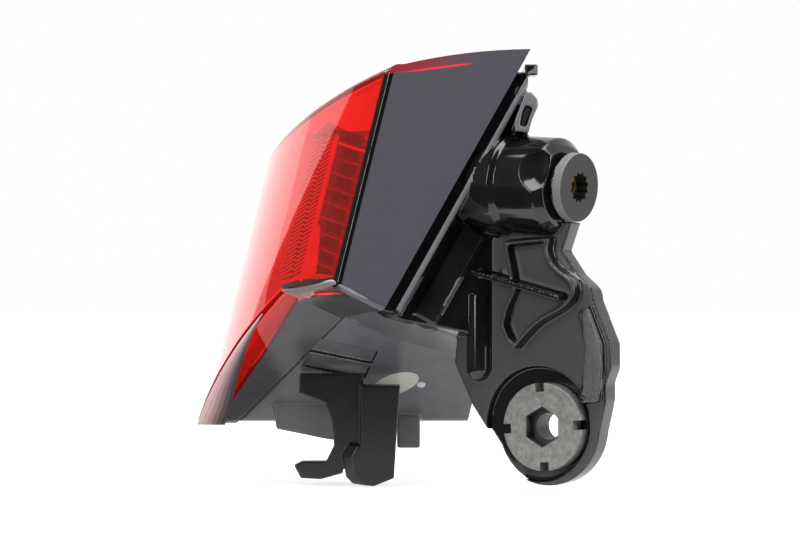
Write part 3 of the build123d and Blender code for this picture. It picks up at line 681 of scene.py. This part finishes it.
# %% Lip under the rear face and the panel
lip_sides = 12
lip_path = [
    (-87.9, 23.4, 45.4), (-82.6, 18.4, 45.2), (-77.6, 12.6, 46.4), (-72.6, 6.0, 47.6),
    (-69.9, 2.4, 48.2), (-68.2, 1.2, 48.1), (-66.0, 0.9, 47.0), (-60.4, 0.9, 44.0),
    (-55.8, 0.9, 41.9), (-52.6, 0.9, 40.5),
]
lip_widths = [0.7, 1.35, 1.4, 1.35, 1.25, 1.1, 0.95, 0.8, 0.65, 0.4]
build = bmesh.new()
loops = []
for index, (point, wide) in enumerate(zip(lip_path, lip_widths)):
    before = Vector(lip_path[max(index - 1, 0)])
    after = Vector(lip_path[min(index + 1, len(lip_path) - 1)])
    turn = (after - before).to_track_quat("Z", "Y").to_matrix().to_4x4()
    ring = bmesh.ops.create_circle(
        build, segments=lip_sides, radius=wide * mm, matrix=Matrix.Translation(row(*point)) @ turn
    )
    loops.append(list({edge for vert in ring["verts"] for edge in vert.link_edges}))
for first_loop, second_loop in zip(loops, loops[1:]):
    bmesh.ops.bridge_loops(build, edges=first_loop + second_loop)
bmesh.ops.holes_fill(build, edges=loops[0] + loops[-1], sides=lip_sides)
bmesh.ops.recalc_face_normals(build, faces=build.faces)
mesh = bpy.data.meshes.new("lower_lip")
build.to_mesh(mesh)
build.free()
shade_smooth(mesh)
lip = bpy.data.objects.new("lower_lip", mesh)
scene.collection.objects.link(lip)
rounder = lip.modifiers.new("rounder", "SUBSURF")
rounder.levels = 2
rounder.render_levels = 2
coat(lip, lip_painted_reflection)
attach(lip, "housing")
print("lower_lip faces", len(mesh.polygons))

# %% [markdown]
# Two thin sheets finish the lower edge of the lens. A black line lies over the lip, and a border on
# the underside goes from pale at the rear face to dark inside: the pale rows near the rear face are a
# painted highlight along the lens's rounded rear edge, fading to the dark of the black shot. The border
# is a grid whose pairs of rows take six finishes in turn, which makes the change of tone in small steps.


# %% Line over the lip, and border of the underside
def line_place(along, step):
    """A black line on the rear face, just over the lip."""
    across = 1.4 + along * 21.0
    return across, 48.75 - 0.12 * across + 0.7 * step, -0.05


# Painted highlight: the pale rows stand for the light along the lens's rounded rear edge, and the
# darkest is the black shot.
highlight_fade_tones = [
    (0.85, 0.6, 0.6), (0.7, 0.48, 0.48), (0.5, 0.33, 0.33),
    (0.3, 0.2, 0.2), (0.13, 0.1, 0.1), (0.06, 0.058, 0.06),
]
border_rows = 2 * len(highlight_fade_tones)
border_width = 9.9


def border_place(along, step):
    """A border on the underside, pale with a painted highlight at the rear face, which takes up the red
    edge towards the tip.
    """
    across = 31.0 + along * 47.0
    wide = border_width * min(1.0, (across - 30.0) / 40.0)
    return across, 63.95 - under_slope * across, 0.2 + step / border_rows * wide


edge_highlight_fade = [
    finish(f"edge_highlight_fade_{index}", tuple(0.92 * level for level in tone), tone, (0.3, 0.4), 300.0, 0.02)
    for index, tone in enumerate(highlight_fade_tones)
]
lens_sheet("lip_line", (seal_black,), 12, 2, 0.1, line_place)
lens_sheet("under_border", edge_highlight_fade, 24, border_rows, 0.1, border_place)

# %% [markdown]
# The studio begins with a white world that lights the lamp from all round. It is weaker as a light
# than as a background: Light Path tells the rays that only look at it, from the camera, off a gloss
# or through a clear wall, from those that light a surface.


# %% World
def looking(tree):
    """One for rays from the camera, off a gloss or through a clear wall, and nought for the rest."""
    path = tree.nodes.new("ShaderNodeLightPath")
    kinds = ("Is Camera Ray", "Is Glossy Ray", "Is Transmission Ray")
    return joined(tree, "MAXIMUM", *(path.outputs[kind] for kind in kinds))


world = bpy.data.worlds.new("studio")
scene.world = world
world.use_nodes = True
tree = world.node_tree
tree.nodes.clear()
mix = tree.nodes.new("ShaderNodeMixShader")
tree.links.new(looking(tree), mix.inputs["Fac"])
world_light, world_seen = 0.65, 1.0
for socket, strength in ((1, world_light), (2, world_seen)):
    background = tree.nodes.new("ShaderNodeBackground")
    background.inputs["Color"].default_value = (1, 1, 1, 1)
    background.inputs["Strength"].default_value = strength
    tree.links.new(background.outputs["Background"], mix.inputs[socket])
world_output = tree.nodes.new("ShaderNodeOutputWorld")
tree.links.new(mix.outputs["Shader"], world_output.inputs["Surface"])
print("world light", world_light, "seen", world_seen)

# %% [markdown]
# The floor is a pale disc under the lamp, which keeps its shadow. It glows a little for the same
# looking rays, so that it meets the white background without an edge and lights nothing.


# %% Floor
def stage_piece(name, build, material):
    """A stage mesh with a finish of its own."""
    mesh = bpy.data.meshes.new(name)
    build.to_mesh(mesh)
    build.free()
    obj = bpy.data.objects.new(name, mesh)
    scene.collection.objects.link(obj)
    coat(obj, material)
    return obj


floor_white = finish(
    "floor_white", (0.5, 0.5, 0.5), (0.52, 0.52, 0.52), (0.9, 1.0), 20.0, 0.0,
    Specular_IOR_Level=0.0, Emission_Color=(1, 1, 1, 1),
)
tree = floor_white.node_tree
glow = ramp(tree, looking(tree), 0.0, 1.0, "LINEAR", 0.7)
tree.links.new(glow, tree.nodes["Principled BSDF"].inputs["Emission Strength"])
build = bmesh.new()
bmesh.ops.create_circle(build, cap_ends=True, segments=96, radius=4.0)
floor_level = cad_box[0][2] - 0.2 * mm
bmesh.ops.translate(build, verts=build.verts, vec=(0, 0, floor_level))
floor = stage_piece("floor", build, floor_white)
print("floor at", round(floor_level, 4))

# %% [markdown]
# A black card round the camera's side gives the glossy black something dark to mirror, as a
# photographer would set it. It is a profile spun about the upright axis, and only gloss sees it.
# Towards the lens's side it fades to grey.

# %% Black card round the camera
card_black = finish(
    "card_black", (0.003, 0.003, 0.003), (0.006, 0.006, 0.006), (0.9, 1.0), 20.0, 0.0,
    Emission_Color=(1, 1, 1, 1),
)
tree = card_black.node_tree
fade = ramp(tree, measured(tree, (1.0, 0.0, 0.0)), -0.9, -1.3, "LINEAR", 0.18)
tree.links.new(fade, tree.nodes["Principled BSDF"].inputs["Emission Strength"])
card_foot = floor_level + 0.002
card_profile = [
    (0.11, card_foot), (1.45, card_foot), (1.45, 0.9), (1.2, 1.35), (0.7, 1.6), (0.1, 1.65),
]
card_side = (-0.82, 0.572)
card_turn = math.radians(172)
build = bmesh.new()
chain = [build.verts.new((card_side[0] * out, card_side[1] * out, up)) for out, up in card_profile]
edges = [build.edges.new(pair) for pair in zip(chain, chain[1:])]
bmesh.ops.spin(build, geom=chain + edges, cent=(0, 0, 0), axis=(0, 0, 1), angle=card_turn, steps=30)
card = stage_piece("card", build, card_black)
card.visible_diffuse = False
card.visible_transmission = False
card.visible_camera = False
card.visible_shadow = False
print("card faces", len(card.data.polygons))

# %% [markdown]
# Five area lights. Four stand round the lamp and face its middle: they draw the lines of light on
# the black mouldings. The fifth is a big one behind the lens on its outer side: seen in the lens at
# a flat angle, it makes the white bloom. It is turned so that its upper edge runs along the bloom's.


# %% Lights
def softbox(name, at, look, size, power):
    """A rectangular area light that faces a point."""
    lamp = bpy.data.lights.new(name, "AREA")
    lamp.shape = "RECTANGLE"
    lamp.size = size[0]
    lamp.size_y = size[1]
    lamp.energy = power
    obj = bpy.data.objects.new(name, lamp)
    obj.location = at
    obj.rotation_euler = (Vector(look) - Vector(at)).to_track_quat("-Z", "Y").to_euler()
    obj.visible_camera = False
    scene.collection.objects.link(obj)
    return obj


middle = (-0.05, 0.03, 0.05)
softbox("top_light", (0.1, -0.3, 1.1), middle, (0.9, 0.7), 14.0)
softbox("front_light", (-0.9, -0.95, 0.45), middle, (0.1, 1.0), 7.0)
softbox("edge_light", (-0.65, 0.36, 0.97), middle, (0.6, 0.3), 3.5)
softbox("right_light", (0.92, -0.43, 0.35), middle, (0.36, 0.9), 8.0)
bloom = softbox("bloom_light", (-0.355, 0.85, 0.254), (1.0, 0.85, 0.254), (1.4, 0.9), 7.0)
edge_run = Vector((0.0, 0.85, -0.53)).normalized()
edge_up = Vector((0.0, 0.53, 0.85)).normalized()
facing = Vector((1.0, 0.0, 0.0))
bloom.rotation_euler = Matrix((-edge_run, edge_up, -facing)).transposed().to_euler()
print("lights", len(bpy.data.lights))

# %% [markdown]
# The camera stands a metre in front of the lamp and looks level along the row's Y axis, with a long
# lens, because the photograph shows little perspective.

# %% Camera
camera_data = bpy.data.cameras.new("camera")
camera_data.lens = 135.0
camera_data.sensor_width = 36.0
camera_data.sensor_fit = "HORIZONTAL"
camera_data.clip_start = 0.01
camera = bpy.data.objects.new("camera", camera_data)
camera.location = (-0.04965, -1.00396, 0.0535)
camera.rotation_euler = (math.radians(90), 0, 0)
scene.collection.objects.link(camera)
scene.camera = camera
scene.view_settings.view_transform = "Standard"
print("camera at", tuple(camera.location))
